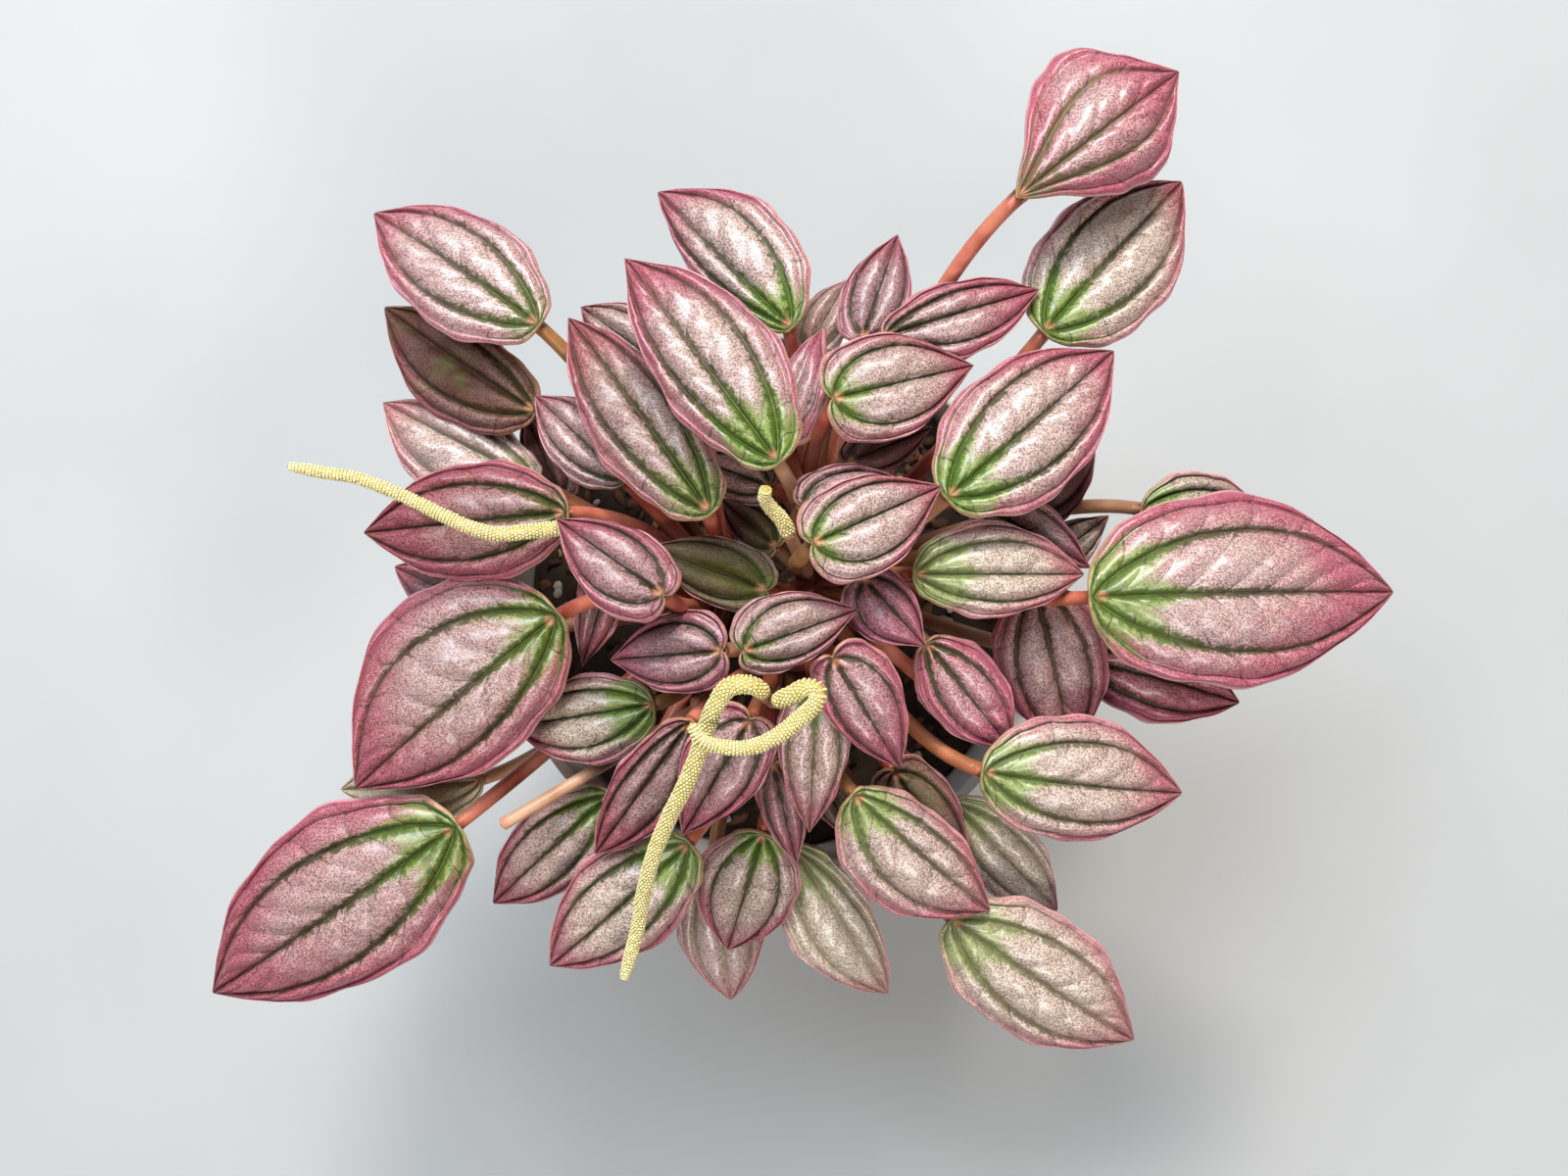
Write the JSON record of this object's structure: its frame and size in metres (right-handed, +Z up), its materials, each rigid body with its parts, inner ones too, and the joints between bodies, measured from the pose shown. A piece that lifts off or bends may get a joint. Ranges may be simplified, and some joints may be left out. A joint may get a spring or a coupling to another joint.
{
  "type": "potted ripple peperomia",
  "caption": "Small potted foliage plant: a mound of pleated, dark-veined, rose-silver heart-shaped leaves on fleshy red stalks, with slender flower spikes, in a round tapered nursery pot.",
  "frame": {"origin": "centre of the pot's flat underside, on the pot's axis", "axes": "+Z up along the pot's axis; +X and +Y level, with the largest leaf reaching out along +X"},
  "size_m": [0.2067, 0.1689, 0.1493],
  "materials": {
    "pot_plastic": "satin",
    "potting_mix": "matte",
    "stalk": "satin",
    "leaf_blade": "satin",
    "flower_spike": "matte"
  },
  "bodies": {
    "root": {"pot": "pot_plastic", "soil": "potting_mix", "crown_west": "stalk", "crown_east": "stalk", "crown_south": "stalk", "leaf_01": "leaf_blade", "leaf_02": "leaf_blade", "leaf_03": "leaf_blade", "leaf_04": "leaf_blade", "leaf_05": "leaf_blade", "leaf_06": "leaf_blade", "leaf_07": "leaf_blade", "leaf_08": "leaf_blade", "leaf_09": "leaf_blade", "leaf_10": "leaf_blade", "leaf_11": "leaf_blade", "leaf_12": "leaf_blade", "leaf_13": "leaf_blade", "leaf_14": "leaf_blade", "leaf_15": "leaf_blade", "leaf_16": "leaf_blade", "leaf_17": "leaf_blade", "leaf_18": "leaf_blade", "leaf_19": "leaf_blade", "leaf_20": "leaf_blade", "leaf_21": "leaf_blade", "leaf_22": "leaf_blade", "leaf_23": "leaf_blade", "leaf_24": "leaf_blade", "leaf_25": "leaf_blade", "leaf_26": "leaf_blade", "leaf_27": "leaf_blade", "leaf_28": "leaf_blade", "leaf_29": "leaf_blade", "leaf_30": "leaf_blade", "leaf_31": "leaf_blade", "leaf_32": "leaf_blade", "leaf_33": "leaf_blade", "leaf_34": "leaf_blade", "leaf_35": "leaf_blade", "leaf_36": "leaf_blade", "leaf_37": "leaf_blade", "leaf_38": "leaf_blade", "leaf_39": "leaf_blade", "leaf_40": "leaf_blade", "leaf_41": "leaf_blade", "leaf_42": "leaf_blade", "leaf_43": "leaf_blade", "leaf_44": "leaf_blade", "leaf_45": "leaf_blade", "leaf_46": "leaf_blade", "leaf_47": "leaf_blade", "leaf_48": "leaf_blade", "leaf_49": "leaf_blade", "leaf_50": "leaf_blade", "leaf_51": "leaf_blade", "spike_1": "flower_spike", "spike_2": "flower_spike", "spike_3": "flower_spike", "spike_4": "flower_spike"}
  },
  "joints": []
}
